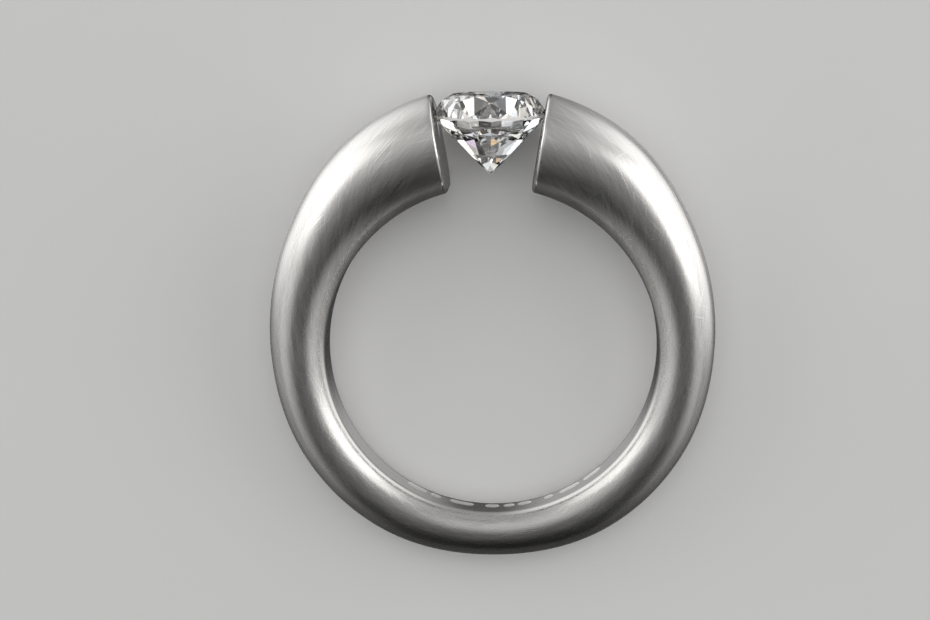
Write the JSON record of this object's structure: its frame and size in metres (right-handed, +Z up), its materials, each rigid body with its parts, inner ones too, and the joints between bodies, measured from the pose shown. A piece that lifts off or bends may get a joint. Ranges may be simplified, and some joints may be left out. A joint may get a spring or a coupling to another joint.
{
  "type": "tension set ring",
  "caption": "Heavy satin white-metal tension ring, slim at the base and thick at two flat ends that hold a round brilliant.",
  "frame": {"origin": "the middle of the finger hole, on its axis and midway through the band", "axes": "the ring lies on its side as it rests: +Z is up and 3.9 degrees from the axis of the finger hole, +Y runs from the base of the band to the stone, +X runs across the ring to the right when the stone is at the top"},
  "size_m": [0.0228, 0.0241, 0.006],
  "materials": {
    "metal": "satin brushed white metal, with polished end faces and fine scratches",
    "gem": "clear, faceted and polished, with a frosted girdle"
  },
  "bodies": {
    "root": {"band": "metal", "stone": "gem"}
  },
  "joints": []
}
